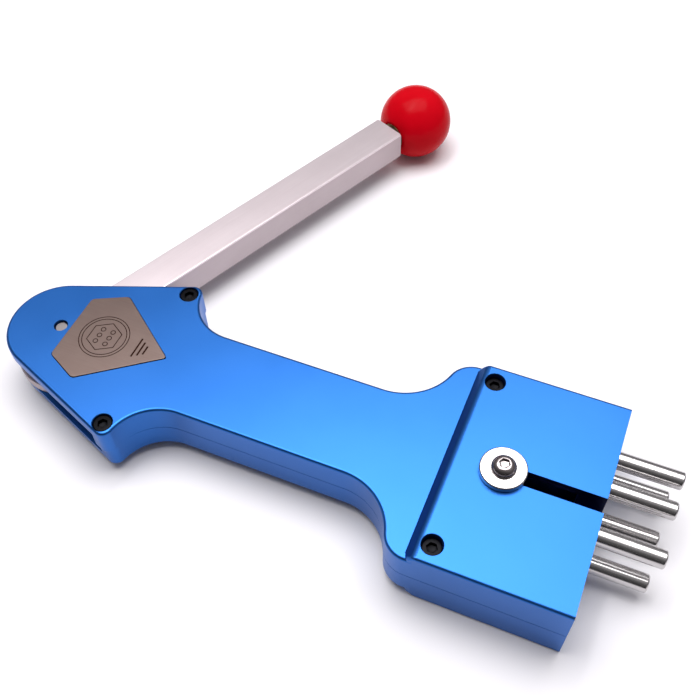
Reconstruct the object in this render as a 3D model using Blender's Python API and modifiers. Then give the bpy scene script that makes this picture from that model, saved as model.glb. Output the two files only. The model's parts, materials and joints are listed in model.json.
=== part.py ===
"""Hand-lever rod press: a two-shell aluminium body, a ball lever and a rack that pushes six rods.

Pulling the lever back turns a pinion, the pinion drives a rack bar forward through the handle,
and the bar pushes a carriage with six steel rods out of the front of the head.

Frame: +X along the tool towards the rods, +Z up, origin on the flat underside of the head,
straight below the clamp screw. Every size below is in millimetres.
"""
import math

import bmesh
import bpy
from mathutils import Matrix, Vector

MM = 0.001
GAP = 0.3                      # air kept between two pieces that touch

# Body, seen from above
HEAD_FRONT = 42.5
HEAD_REAR = -25.2              # foot of the slope that steps down to the handle
HEAD_HALF_WIDTH = 50.0
HEAD_CORNER = 3.0
FLARE_HALF_WIDTH = 50.0
FLARE_RADIUS = 12.0
FLARE_X = -24.8                # centre of the round shoulder beside the head
FRONT_WAIST_X = -61.5          # where the straight waist starts
REAR_WAIST_X = -140.0
WAIST_HALF_WIDTH = 23.0
CORNER_X = -166.8
CORNER_Y = {1: 40.8, -1: 39.6}      # upper shell, lower shell
CORNER_RADIUS = 4.5
PIVOT_X = -215.0
LOBE_RADIUS = {1: 25.5, -1: 24.0}
ARC_STEP = 9.0                 # degrees between two points of an arc

# Body, seen from the side: heights above and below the joint between the shells
SPLIT_Z = 18.0
HEAD_RISE = 18.0
HANDLE_RISE = {1: 14.0, -1: 13.2}
EDGE_RADIUS = 1.5

# Hollows in the shells, as heights from the joint
LEVER_POCKET_RISE = 8.5
LEVER_POCKET_FRONT = -172.0
CHANNEL_RISE = 7.5
CAVITY_RISE = 14.0
CAVITY_FRONT = 31.0
CAVITY_REAR = -24.0
CAVITY_HALF_WIDTH = 35.4
SLOT_HALF_WIDTH = 3.5
SLOT_REAR = -4.5
SLOT_FLOOR_RISE = 1.0

# Screws that hold the shells together: x, y, height of the face, depth of the counterbore
CASE_SCREWS = {"head_screw": (-16.0, 41.5, HEAD_RISE, 7.0),
               "rear_screw": (-168.0, 39.3, HANDLE_RISE[1], 5.0)}
COUNTERBORE_RADIUS = 4.5
CASE_HEAD_RADIUS = 4.2
CASE_HEAD_HEIGHT = 4.0
CASE_SHANK_RADIUS = 2.5
DOWELS = {"head_dowel": (36.5, 41.0), "rear_dowel": (-155.0, 23.0)}
DOWEL_RADIUS = 2.0
DOWEL_HALF_LENGTH = 6.0

# Lever, its hub and its pinion
LEVER_ANGLE = 65.45            # degrees from +X at rest
LEVER_WIDTH = 19.0
LEVER_RISE = 8.0               # half of its thickness
LEVER_ROOT = 14.0
LEVER_END = 216.3
HUB_RADIUS = 24.5
HUB_TOP = -2.5
HUB_SOCKET = 10.0
PIN_RADIUS = 3.0
BUSH_RADIUS = 5.0
BUSH_HEIGHT = 2.8
MODULE = 1.5
TEETH = 12
PITCH_RADIUS = MODULE * TEETH / 2
PRESSURE_ANGLE = math.radians(20.0)
PINION_TIP = PITCH_RADIUS + MODULE
PINION_ROOT = 7.6
RACK_ADDENDUM = 1.0
RACK_DEDENDUM = 1.8
BACKLASH = 0.3
STOP_PIN_ALONG = 35.0
STOP_PIN_RADIUS = 3.0

# Ball knob
BALL_CENTRE = 237.8
BALL_RADIUS = 20.6
BALL_FLAT = 18.7               # distance of the flat from the ball's centre
STUD_RADIUS = 5.0
INSERT_RADIUS = 7.2

# Rack bar
RACK_BACK = -16.8
RACK_FACE = -5.8
RACK_TAIL = -236.0
RACK_TOOTH_TOP = 7.0
RACK_TOOTH_BOTTOM = -2.0
RACK_STEP_X = -188.0
BAR_RISE = 5.5
ROLLER_RADIUS = 3.5
ROLLER_STUD_RADIUS = 1.5

# Carriage and rods; the heights are from the joint between the shells
CARRIAGE_REAR = -20.0
CARRIAGE_FRONT = 8.0
CARRIAGE_HALF_WIDTH = 35.0
CARRIAGE_RISE = 13.5
ROD_RADIUS = 4.0
ROD_SEAT = -9.0
ROD_ROW_RISE = 8.0
ROD_HOLE = ROD_RADIUS + GAP
LOWER_PITCH = 20.4
LOWER_MIDDLE = 7.3
UPPER_ROW = [29.0, 14.0, -8.7]
LOWER_ROW = [LOWER_MIDDLE + LOWER_PITCH * step for step in (1, 0, -1)]
UPPER_END = 70.5
LOWER_END = 68.0
ROD_SCREW_RADIUS = 2.0
ROD_SCREW_HEAD = 3.5
ROD_SCREW_SHOULDER = -15.8
ROD_THREAD_END = 3.0

# Clamp screw on top of the head
WASHER_RADIUS = 10.0
WASHER_THICKNESS = 2.7
CLAMP_SHANK_RADIUS = 3.0
CLAMP_HEAD_RADIUS = 5.3
CLAMP_HEAD_HEIGHT = 3.2

# Badge plate: half of its outline, from the side near the pivot to the point
BADGE_CENTRE_Y = 1.5
BADGE_HALF = [(-210.0, 17.8), (-193.6, 25.8), (-158.6, 0.0)]
BADGE_THICKNESS = 1.5
BADGE_PROUD = 0.5
BADGE_RECESS = 1.3
BADGE_CORNER = 1.5

PARTS_NAME = "rod_press"
CUTTERS_NAME = "cutters"

MATERIALS = {
    "blue_anodised": ((0.03, 0.22, 0.75, 1.0), 0.35, 1.0),
    "black_oxide": ((0.02, 0.02, 0.02, 1.0), 0.45, 1.0),
    "satin_aluminium": ((0.75, 0.74, 0.74, 1.0), 0.4, 1.0),
    "polished_steel": ((0.65, 0.64, 0.63, 1.0), 0.15, 1.0),
    "machined_steel": ((0.42, 0.42, 0.43, 1.0), 0.35, 1.0),
    "bronze": ((0.55, 0.35, 0.15, 1.0), 0.35, 1.0),
    "brass": ((0.75, 0.55, 0.22, 1.0), 0.3, 1.0),
    "nickel_badge": ((0.45, 0.37, 0.34, 1.0), 0.35, 1.0),
    "red_ball": ((0.65, 0.01, 0.02, 1.0), 0.12, 0.0),
}


# ---------------------------------------------------------------- helpers

def clear_scene():
    for thing in list(bpy.data.objects):
        bpy.data.objects.remove(thing, do_unlink=True)


def new_collection(name):
    collection = bpy.data.collections.new(name)
    bpy.context.scene.collection.children.link(collection)
    return collection


def principled(name):
    colour, roughness, metallic = MATERIALS[name]
    material = bpy.data.materials.get(name)
    if material is None:
        material = bpy.data.materials.new(name)
        material.use_nodes = True
        shader = material.node_tree.nodes["Principled BSDF"]
        shader.inputs["Base Color"].default_value = colour
        shader.inputs["Roughness"].default_value = roughness
        shader.inputs["Metallic"].default_value = metallic
    return material


def add_object(name, mesh, material=None, parent=None):
    """A part where a material is given, or else a hidden cutter."""
    thing = bpy.data.objects.new(name, mesh)
    if material:
        bpy.data.collections[PARTS_NAME].objects.link(thing)
        mesh.materials.append(principled(material))
        mesh.shade_smooth()
        mesh.set_sharp_from_angle(angle=math.radians(35))
    else:
        bpy.data.collections[CUTTERS_NAME].objects.link(thing)
        thing.hide_render = True
        thing.display_type = "WIRE"
    thing.parent = parent
    return thing


def mesh_from(name, shape):
    mesh = bpy.data.meshes.new(name)
    shape.to_mesh(mesh)
    shape.free()
    return mesh


def heights(side, low, high):
    """World heights of a span given from the joint, on the upper (1) or lower (-1) side."""
    return sorted((SPLIT_Z + side * low, SPLIT_Z + side * high))


def box(name, x, y, z, material=None, parent=None):
    shape = bmesh.new()
    bmesh.ops.create_cube(shape, size=1.0)
    size = Vector((x[1] - x[0], y[1] - y[0], z[1] - z[0])) * MM
    middle = Vector((x[0] + x[1], y[0] + y[1], z[0] + z[1])) * MM / 2
    bmesh.ops.scale(shape, vec=size, verts=shape.verts)
    bmesh.ops.translate(shape, vec=middle, verts=shape.verts)
    return add_object(name, mesh_from(name, shape), material, parent)


def place(point, axis):
    """Matrix that puts a shape made along +Z at a point, along X, Y or Z."""
    turns = {"X": Matrix.Rotation(math.radians(90), 4, "Y"),
             "Y": Matrix.Rotation(math.radians(-90), 4, "X"),
             "Z": Matrix.Identity(4)}
    return Matrix.Translation(Vector(point) * MM) @ turns[axis]


def cylinder(name, radius, point, axis, length, material=None, parent=None, sides=24):
    """A cylinder that starts at a point and runs along an axis."""
    shape = bmesh.new()
    bmesh.ops.create_cone(shape, cap_ends=True, segments=sides, radius1=radius * MM,
                          radius2=radius * MM, depth=length * MM,
                          matrix=place(point, axis) @ Matrix.Translation((0, 0, length * MM / 2)))
    return add_object(name, mesh_from(name, shape), material, parent)


def turned(name, profile, matrix, material=None, parent=None, ring=False, steps=24):
    """A turned piece: (radius, height) points down its outer side, then a full Screw turn."""
    shape = bmesh.new()
    points = [shape.verts.new((radius * MM, 0, height * MM)) for radius, height in profile]
    for start, end in zip(points, points[1:]):
        shape.edges.new((start, end))
    if ring:
        shape.edges.new((points[-1], points[0]))
    guide = add_object(name + "_profile", mesh_from(name + "_profile", shape))
    screw = guide.modifiers.new("turn", "SCREW")
    screw.steps = steps
    screw.render_steps = steps
    screw.use_merge_vertices = True
    screw.merge_threshold = 0.00001
    mesh = baked(guide)
    mesh.transform(matrix)
    return add_object(name, mesh, material, parent)


def baked(thing):
    """The evaluated mesh of an object, which is then removed."""
    bpy.context.view_layer.update()
    evaluated = thing.evaluated_get(bpy.context.evaluated_depsgraph_get())
    mesh = bpy.data.meshes.new_from_object(evaluated)
    bpy.data.objects.remove(thing, do_unlink=True)
    return mesh


def prism(name, outline, z, material=None, parent=None):
    """A flat outline of (x, y) points, filled and extruded between two heights."""
    curve = bpy.data.curves.new(name + "_outline", "CURVE")
    curve.dimensions = "2D"
    curve.fill_mode = "BOTH"
    curve.extrude = (z[1] - z[0]) * MM / 2
    spline = curve.splines.new("POLY")
    spline.points.add(len(outline) - 1)
    for point, (x, y) in zip(spline.points, outline):
        point.co = (x * MM, y * MM, 0.0, 1.0)
    spline.use_cyclic_u = True
    guide = bpy.data.objects.new(name + "_outline", curve)
    bpy.context.scene.collection.objects.link(guide)
    shape = bmesh.new()
    shape.from_mesh(baked(guide))
    bpy.data.curves.remove(curve)
    bmesh.ops.remove_doubles(shape, verts=shape.verts, dist=0.00001)
    bmesh.ops.dissolve_limit(shape, angle_limit=math.radians(0.5), verts=shape.verts,
                             edges=shape.edges)
    bmesh.ops.translate(shape, vec=(0, 0, (z[0] + z[1]) * MM / 2), verts=shape.verts)
    bmesh.ops.recalc_face_normals(shape, faces=shape.faces)
    return add_object(name, mesh_from(name, shape), material, parent)


def boolean(target, cutter, operation="DIFFERENCE"):
    change = target.modifiers.new(cutter.name, "BOOLEAN")
    change.operation = operation
    change.solver = "EXACT"
    change.object = cutter


def empty(name, x, z, angle=0.0):
    thing = bpy.data.objects.new(name, None)
    bpy.context.scene.collection.objects.link(thing)
    thing.location = (x * MM, 0, z * MM)
    thing.rotation_euler = (0, 0, math.radians(angle))
    return thing


# ---------------------------------------------------------------- outlines

def arc(centre, radius, start, end):
    """Points along an arc, both ends included, with angles in degrees."""
    count = max(2, round(abs(end - start) / ARC_STEP))
    angles = [math.radians(start + (end - start) * step / count) for step in range(count + 1)]
    return [(centre[0] + radius * math.cos(a), centre[1] + radius * math.sin(a)) for a in angles]


def hollow_arc(corner, corner_radius, arc_x):
    """The hollow arc that leaves the waist at arc_x and meets a round corner smoothly."""
    dx = corner[0] - arc_x
    dy = corner[1] - WAIST_HALF_WIDTH
    radius = (dx * dx + dy * dy - corner_radius ** 2) / (2 * (corner_radius + dy))
    centre = (arc_x, WAIST_HALF_WIDTH + radius)
    meeting = math.degrees(math.atan2(corner[1] - centre[1], corner[0] - centre[0]))
    return centre, radius, meeting


def handle_outline(side_of_joint):
    """The body behind the head: shoulders, waist, rear corners and the round lobe."""
    lobe_radius = LOBE_RADIUS[side_of_joint]
    corner = (CORNER_X, CORNER_Y[side_of_joint])
    shoulder = (FLARE_X, FLARE_HALF_WIDTH - FLARE_RADIUS)
    front_centre, front_radius, front_meeting = hollow_arc(shoulder, FLARE_RADIUS, FRONT_WAIST_X)
    rear_centre, rear_radius, rear_meeting = hollow_arc(corner, CORNER_RADIUS, REAR_WAIST_X)
    along = CORNER_X - PIVOT_X
    distance = math.hypot(along, corner[1])
    slope = math.atan2(corner[1], along) - math.asin((lobe_radius - CORNER_RADIUS) / distance)
    rear_normal = 90 + math.degrees(slope)
    side = [(HEAD_REAR + 8, FLARE_HALF_WIDTH)]
    side += arc(shoulder, FLARE_RADIUS, 90, front_meeting + 180)
    side += arc(front_centre, front_radius, front_meeting, -90)[1:]
    side += arc(rear_centre, rear_radius, -90, rear_meeting)
    side += arc(corner, CORNER_RADIUS, rear_meeting + 180, rear_normal)[1:]
    side += arc((PIVOT_X, 0), lobe_radius, rear_normal, 180)
    return side + [(x, -y) for x, y in reversed(side[:-1])]


def head_outline():
    middle = (HEAD_REAR + HEAD_CORNER, HEAD_HALF_WIDTH - HEAD_CORNER)
    side = [(HEAD_FRONT, HEAD_HALF_WIDTH)] + arc(middle, HEAD_CORNER, 90, 180)
    return side + [(x, -y) for x, y in reversed(side)]


def badge_outline(inset):
    """The five-sided badge with rounded corners, drawn in by an inset on every side."""
    corners = [Vector((x, BADGE_CENTRE_Y + y)) for x, y in BADGE_HALF]
    corners += [Vector((x, BADGE_CENTRE_Y - y)) for x, y in reversed(BADGE_HALF[:-1])]
    points = []
    for index, corner in enumerate(corners):
        before = (corners[index - 1] - corner).normalized()
        after = (corners[(index + 1) % len(corners)] - corner).normalized()
        inward = (before + after).normalized()
        centre = corner + inward * (BADGE_CORNER + inset) / math.sin(before.angle(inward))
        angles = []
        for edge in (before, after):
            outward = edge * inward.dot(edge) - inward
            angles.append(math.degrees(math.atan2(outward.y, outward.x)))
        turn = (angles[1] - angles[0] + 180) % 360 - 180
        points += arc(centre, BADGE_CORNER, angles[0], angles[0] + turn)
    return points


def pinion_outline():
    """Involute teeth, with a gap between two teeth facing the rack at rest."""
    base = PITCH_RADIUS * math.cos(PRESSURE_ANGLE)
    pitch_half = (math.pi * MODULE / 2 - BACKLASH / 2) / (2 * PITCH_RADIUS)

    def involute(angle):
        return math.tan(angle) - angle

    def half_angle(radius):
        pressure = math.acos(min(1.0, base / radius))
        return pitch_half + involute(PRESSURE_ANGLE) - involute(pressure)

    radii = [PINION_ROOT, base, PITCH_RADIUS, (PITCH_RADIUS + PINION_TIP) / 2, PINION_TIP]
    points = []
    for tooth in range(TEETH):
        centre = math.radians(-90 - LEVER_ANGLE) + (tooth + 0.5) * 2 * math.pi / TEETH
        flank = [(radius, half_angle(radius)) for radius in radii]
        points += [(r * math.cos(centre - a), r * math.sin(centre - a)) for r, a in flank]
        points += [(r * math.cos(centre + a), r * math.sin(centre + a)) for r, a in flank[::-1]]
    return points


def rack_outline():
    """The toothed end of the rack bar, with a tooth facing the pinion at rest."""
    pitch = math.pi * MODULE
    tip_y = -PITCH_RADIUS + RACK_ADDENDUM
    root_y = -PITCH_RADIUS - RACK_DEDENDUM
    half = (pitch - BACKLASH * 2) / 4
    tip_half = half - RACK_ADDENDUM * math.tan(PRESSURE_ANGLE)
    root_half = half + RACK_DEDENDUM * math.tan(PRESSURE_ANGLE)
    overlap = RACK_STEP_X + 8
    points = [(RACK_TAIL + 3, RACK_BACK), (overlap, RACK_BACK), (overlap, root_y)]
    for tooth in (2, 1, 0, -1, -2, -3, -4):
        x = PIVOT_X + tooth * pitch
        points += [(x + root_half, root_y), (x + tip_half, tip_y)]
        points += [(x - tip_half, tip_y), (x - root_half, root_y)]
    return points + [(RACK_TAIL, root_y), (RACK_TAIL, RACK_BACK + 3)]


# ---------------------------------------------------------------- shells

def round_rim(body, height):
    """Rounds the outer rim at a height, and leaves the front face's edges sharp."""
    shape = bmesh.new()
    shape.from_mesh(body.data)
    weight = shape.edges.layers.float.new("bevel_weight_edge")
    for edge in shape.edges:
        on_rim = all(abs(v.co.z - height * MM) < 0.00001 for v in edge.verts)
        at_front = all(v.co.x > (HEAD_FRONT - 0.1) * MM for v in edge.verts)
        edge[weight] = 1.0 if on_rim and not at_front else 0.0
    shape.to_mesh(body.data)
    shape.free()
    rim = body.modifiers.new("rim", "BEVEL")
    rim.limit_method = "WEIGHT"
    rim.width = EDGE_RADIUS * MM
    rim.segments = 3
    rim.use_clamp_overlap = False


def slope_cutter(side):
    """A tilted block that cuts the slope from the head's top down to the handle."""
    cutter = box("slope_%d" % side, (0, 20), (-60, 60), (-30, 30))
    foot = Vector((HEAD_REAR, 0, SPLIT_Z + side * HANDLE_RISE[side])) * MM
    turn = Matrix.Rotation(math.radians(-135 * side), 4, "Y")
    cutter.data.transform(Matrix.Translation(foot) @ turn)
    return cutter


def shell_blank(side, name):
    body = prism(name, handle_outline(side), heights(side, GAP / 2, HANDLE_RISE[side]),
                 "blue_anodised")
    round_rim(body, SPLIT_Z + side * HANDLE_RISE[side])
    head = prism(name + "_head", head_outline(), heights(side, GAP / 2, HEAD_RISE))
    round_rim(head, SPLIT_Z + side * HEAD_RISE)
    boolean(head, slope_cutter(side))
    boolean(body, head, "UNION")
    return body


def upright_cutter(side, name, radius, x, y, low, high):
    bottom, top = heights(side, low, high)
    return cylinder("%s_%d" % (name, side), radius, (x, y, bottom), "Z", top - bottom)


def cut_common_hollows(body, side):
    """What both shells share: lever pocket, rack channel, cavity, pivot, stop and dowel holes."""
    pocket = box("pocket_%d" % side, (PIVOT_X - 40, LEVER_POCKET_FRONT), (-60, 60),
                 heights(side, -1, LEVER_POCKET_RISE))
    channel = box("channel_%d" % side, (LEVER_POCKET_FRONT - 1, CAVITY_REAR + 1),
                  (RACK_BACK - 2 * GAP, RACK_FACE + 2 * GAP), heights(side, -1, CHANNEL_RISE))
    cavity = box("cavity_%d" % side, (CAVITY_REAR, CAVITY_FRONT),
                 (-CAVITY_HALF_WIDTH, CAVITY_HALF_WIDTH), heights(side, -1, CAVITY_RISE))
    cutters = [pocket, channel, cavity]
    lip = LEVER_POCKET_RISE
    cutters.append(upright_cutter(side, "pivot_hole", PIN_RADIUS + GAP, PIVOT_X, 0, lip - 1, 20))
    cutters.append(upright_cutter(side, "bush_seat", BUSH_RADIUS + GAP, PIVOT_X, 0,
                                  lip - 1, lip + BUSH_HEIGHT + GAP))
    stop_x, stop_y = stop_pin_place()
    cutters.append(upright_cutter(side, "stop_hole", STOP_PIN_RADIUS + GAP, stop_x, stop_y,
                                  lip - 1, lip + 4))
    for name, (x, y) in DOWELS.items():
        for across in (1, -1):
            cutters.append(upright_cutter(side, "%s_hole_%d" % (name, across),
                                          DOWEL_RADIUS + GAP, x, across * y,
                                          -1, DOWEL_HALF_LENGTH + GAP))
    row = UPPER_ROW if side > 0 else LOWER_ROW
    for index, y in enumerate(row):
        point = (CAVITY_FRONT - 1, y, SPLIT_Z + side * ROD_ROW_RISE)
        cutters.append(cylinder("rod_hole_%d_%d" % (side, index), ROD_HOLE, point, "X",
                                HEAD_FRONT - CAVITY_FRONT + 2))
    for cutter in cutters:
        boolean(body, cutter)


def stop_pin_place():
    """The stop pin touches the side of the lever that faces the head."""
    angle = math.radians(LEVER_ANGLE)
    along = STOP_PIN_ALONG
    aside = LEVER_WIDTH / 2 + GAP + STOP_PIN_RADIUS
    return (PIVOT_X + along * math.cos(angle) + aside * math.sin(angle),
            along * math.sin(angle) - aside * math.cos(angle))


def upper_shell():
    body = shell_blank(1, "upper_shell")
    cut_common_hollows(body, 1)
    slot_heights = heights(1, SLOT_FLOOR_RISE, HEAD_RISE + 1)
    slot_end = SLOT_REAR + SLOT_HALF_WIDTH
    cutters = [box("slot", (slot_end, HEAD_FRONT + 1), (-SLOT_HALF_WIDTH, SLOT_HALF_WIDTH),
                   slot_heights),
               upright_cutter(1, "slot_end", SLOT_HALF_WIDTH, slot_end, 0,
                              SLOT_FLOOR_RISE, HEAD_RISE + 1),
               prism("badge_recess", badge_outline(0),
                     heights(1, HANDLE_RISE[1] - BADGE_RECESS, HANDLE_RISE[1] + 1)),
               upright_cutter(1, "roller_hole", ROLLER_STUD_RADIUS + GAP, PIVOT_X,
                              roller_y(), LEVER_POCKET_RISE - 1, LEVER_POCKET_RISE + 4)]
    for name, (x, y, rise, depth) in CASE_SCREWS.items():
        for across in (1, -1):
            label = "%s_%d" % (name, across)
            cutters.append(upright_cutter(1, label + "_bore", COUNTERBORE_RADIUS, x, across * y,
                                          rise - depth, rise + 1))
            cutters.append(upright_cutter(1, label + "_hole", CASE_SHANK_RADIUS + GAP, x,
                                          across * y, -1, rise - depth + 1))
    for cutter in cutters:
        boolean(body, cutter)


def lower_shell():
    body = shell_blank(-1, "lower_shell")
    cut_common_hollows(body, -1)
    for name, (x, y, rise, _) in CASE_SCREWS.items():
        for across in (1, -1):
            boolean(body, upright_cutter(-1, "%s_%d_thread" % (name, across),
                                         CASE_SHANK_RADIUS + GAP, x, across * y, -1, rise - 4))


# ---------------------------------------------------------------- fasteners and pins

def socket_screw(name, head, shank, matrix, socket, material, parent=None, domed=False):
    """A socket-head screw; head and shank are (radius, length), and the seat is at the origin."""
    head_radius, head_height = head
    shank_radius, length = shank
    profile = [(0, head_height)]
    if domed:
        profile += [(head_radius * 0.62, head_height), (head_radius * 0.88, head_height * 0.68)]
        profile += [(head_radius, head_height * 0.25), (head_radius, 0)]
    else:
        profile += [(head_radius - 0.4, head_height), (head_radius, head_height - 0.4)]
        profile += [(head_radius, 0)]
    profile += [(shank_radius, 0), (shank_radius, 0.5 - length), (shank_radius - 0.5, -length),
                (0, -length)]
    screw = turned(name, profile, matrix, material, parent)
    depth = head_height * 0.6
    recess = cylinder(name + "_socket", socket, (0, 0, head_height - depth), "Z", depth + 1,
                      sides=6)
    recess.data.transform(matrix)
    recess.parent = parent
    boolean(screw, recess)


def case_screws():
    for name, (x, y, rise, depth) in CASE_SCREWS.items():
        seat = SPLIT_Z + rise - depth + GAP
        for end, across in (("far", 1), ("near", -1)):
            socket_screw("%s_%s" % (name, end), (CASE_HEAD_RADIUS, CASE_HEAD_HEIGHT),
                         (CASE_SHANK_RADIUS, 2 * rise - depth - 5),
                         place((x, across * y, seat), "Z"), 2.3, "black_oxide")


def shell_dowels():
    for place_name, (x, y) in DOWELS.items():
        for end, across in (("far", 1), ("near", -1)):
            cylinder("%s_%s" % (place_name, end), DOWEL_RADIUS,
                     (x, across * y, SPLIT_Z - DOWEL_HALF_LENGTH), "Z", 2 * DOWEL_HALF_LENGTH,
                     "machined_steel", sides=24)


def pin_profile(radius, low, high, chamfer=0.4):
    return [(0, high), (radius - chamfer, high), (radius, high - chamfer),
            (radius, low + chamfer), (radius - chamfer, low), (0, low)]


def ring_profile(inner, outer, low, high, chamfer=0.2):
    return [(outer - chamfer, high), (outer, high - chamfer), (outer, low + chamfer),
            (outer - chamfer, low), (inner, low), (inner, high)]


def roller_y():
    return RACK_BACK - GAP - ROLLER_RADIUS


def pivot_and_stop():
    pivot = place((PIVOT_X, 0, SPLIT_Z), "Z")
    pin_half = HANDLE_RISE[-1] - 0.5
    turned("pivot_pin", pin_profile(PIN_RADIUS, -pin_half, pin_half), pivot, "machined_steel")
    seat = LEVER_POCKET_RISE
    for name, low, high in (("upper_bush", seat, seat + BUSH_HEIGHT),
                            ("lower_bush", -seat - BUSH_HEIGHT, -seat)):
        turned(name, ring_profile(PIN_RADIUS + GAP, BUSH_RADIUS, low, high), pivot, "bronze",
               ring=True)
    stop_x, stop_y = stop_pin_place()
    reach = LEVER_POCKET_RISE + 3.6
    turned("stop_pin", pin_profile(STOP_PIN_RADIUS, -reach, reach),
           place((stop_x, stop_y, SPLIT_Z), "Z"), "machined_steel")
    roller = place((PIVOT_X, roller_y(), SPLIT_Z), "Z")
    turned("roller_stud", pin_profile(ROLLER_STUD_RADIUS, RACK_TOOTH_BOTTOM + 0.2, reach), roller,
           "machined_steel")
    turned("guide_roller", ring_profile(ROLLER_STUD_RADIUS + GAP, ROLLER_RADIUS,
                                        RACK_TOOTH_BOTTOM + 0.2, RACK_TOOTH_TOP), roller,
           "machined_steel", ring=True)


def badge_plate():
    top = SPLIT_Z + HANDLE_RISE[1] + BADGE_PROUD
    prism("badge_plate", badge_outline(GAP), (top - BADGE_THICKNESS, top), "nickel_badge")


# ---------------------------------------------------------------- lever

def lever():
    """Everything that turns with the lever, drawn along +X and turned to the rest angle."""
    pivot = empty("lever_pivot", PIVOT_X, SPLIT_Z, LEVER_ANGLE)
    half = LEVER_WIDTH / 2
    arm = box("lever_arm", (LEVER_ROOT, LEVER_END), (-half, half), (-LEVER_RISE, LEVER_RISE),
              "satin_aluminium", pivot)
    edge = arm.modifiers.new("edges", "BEVEL")
    edge.width = 0.7 * MM
    edge.segments = 1
    turned_end = turned("turned_end", [(0, LEVER_END + 1), (11.0, LEVER_END + 1),
                                       (13.0, LEVER_END - 1.6), (13.0, 0), (0, 0)],
                        place((0, 0, 0), "X"), parent=pivot, steps=40)
    hub = cylinder("hub", HUB_RADIUS, (0, 0, -LEVER_RISE), "Z", LEVER_RISE + HUB_TOP,
                   parent=pivot, sides=60)
    socket = box("hub_socket", (-HUB_SOCKET / 2, HUB_SOCKET / 2),
                 (-HUB_SOCKET / 2, HUB_SOCKET / 2), (-LEVER_RISE - 1, HUB_TOP + 1), parent=pivot)
    thread = cylinder("lever_thread", STUD_RADIUS + GAP, (LEVER_END - 20, 0, 0), "X", 22,
                      parent=pivot)
    boolean(arm, turned_end, "INTERSECT")
    boolean(arm, hub, "UNION")
    boolean(arm, socket)
    boolean(arm, thread)

    foot = HUB_TOP + GAP
    pinion = prism("pinion", pinion_outline(), (foot, LEVER_POCKET_RISE - 0.8), "machined_steel",
                   pivot)
    key_half = HUB_SOCKET / 2 - GAP
    spigot = box("pinion_spigot", (-key_half, key_half), (-key_half, key_half),
                 (0.2 - LEVER_RISE, foot + 1), parent=pivot)
    bore = cylinder("pinion_bore", PIN_RADIUS + GAP, (0, 0, -LEVER_RISE - 1), "Z", 20,
                    parent=pivot)
    boolean(pinion, spigot, "UNION")
    boolean(pinion, bore)
    ball_knob(pivot)


def ball_knob(pivot):
    """The ball, its threaded insert and its stud, turned about the lever's length."""
    along = place((BALL_CENTRE, 0, 0), "X")
    flat_radius = math.sqrt(BALL_RADIUS ** 2 - BALL_FLAT ** 2)
    bore = INSERT_RADIUS + GAP
    flat_angle = math.degrees(math.atan2(-BALL_FLAT, flat_radius))
    steps = 11
    angles = [math.radians(90 + (flat_angle - 90) * step / steps) for step in range(1, steps + 1)]
    ball = [(0, BALL_RADIUS)]
    ball += [(BALL_RADIUS * math.cos(a), BALL_RADIUS * math.sin(a)) for a in angles]
    ball += [(bore, -BALL_FLAT), (bore, 0), (0, 0)]
    turned("ball_knob", ball, along, "red_ball", pivot, steps=32)
    hole = STUD_RADIUS + GAP
    insert_foot = 0.3 - BALL_FLAT
    turned("knob_insert", [(INSERT_RADIUS, -0.3), (INSERT_RADIUS, insert_foot),
                           (hole, insert_foot), (hole, -0.3)], along, "brass", pivot, ring=True)
    stud_foot = LEVER_END - 19.5 - BALL_CENTRE
    turned("knob_stud", pin_profile(STUD_RADIUS, stud_foot, -1.0, 0.6), along, "machined_steel",
           pivot)


# ---------------------------------------------------------------- rack, carriage and rods

def push_rack(slide):
    teeth = (SPLIT_Z + RACK_TOOTH_BOTTOM, SPLIT_Z + RACK_TOOTH_TOP)
    rack = prism("push_rack", rack_outline(), teeth, "machined_steel")
    bar = box("rack_bar", (RACK_STEP_X, CARRIAGE_REAR - GAP), (RACK_BACK, RACK_FACE),
              (SPLIT_Z - BAR_RISE, SPLIT_Z + BAR_RISE))
    middle = (RACK_BACK + RACK_FACE) / 2
    thread = cylinder("rack_thread", ROD_SCREW_RADIUS + GAP, (CARRIAGE_REAR - 15, middle, SPLIT_Z),
                      "X", 16)
    boolean(rack, bar, "UNION")
    boolean(rack, thread)
    rack.parent = slide
    seat = CARRIAGE_FRONT + GAP
    socket_screw("rack_screw", (ROD_SCREW_HEAD, 3.0),
                 (ROD_SCREW_RADIUS, seat - CARRIAGE_REAR + 13),
                 place((seat, middle, SPLIT_Z), "X"), 1.7, "black_oxide", slide)


def rods():
    """Row by row: name, y, height and front end of each rod."""
    for row, side, places, end in (("upper", 1, UPPER_ROW, UPPER_END),
                                   ("lower", -1, LOWER_ROW, LOWER_END)):
        for index, y in enumerate(places):
            yield "rod_%s_%d" % (row, index + 1), y, SPLIT_Z + side * ROD_ROW_RISE, end


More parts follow.
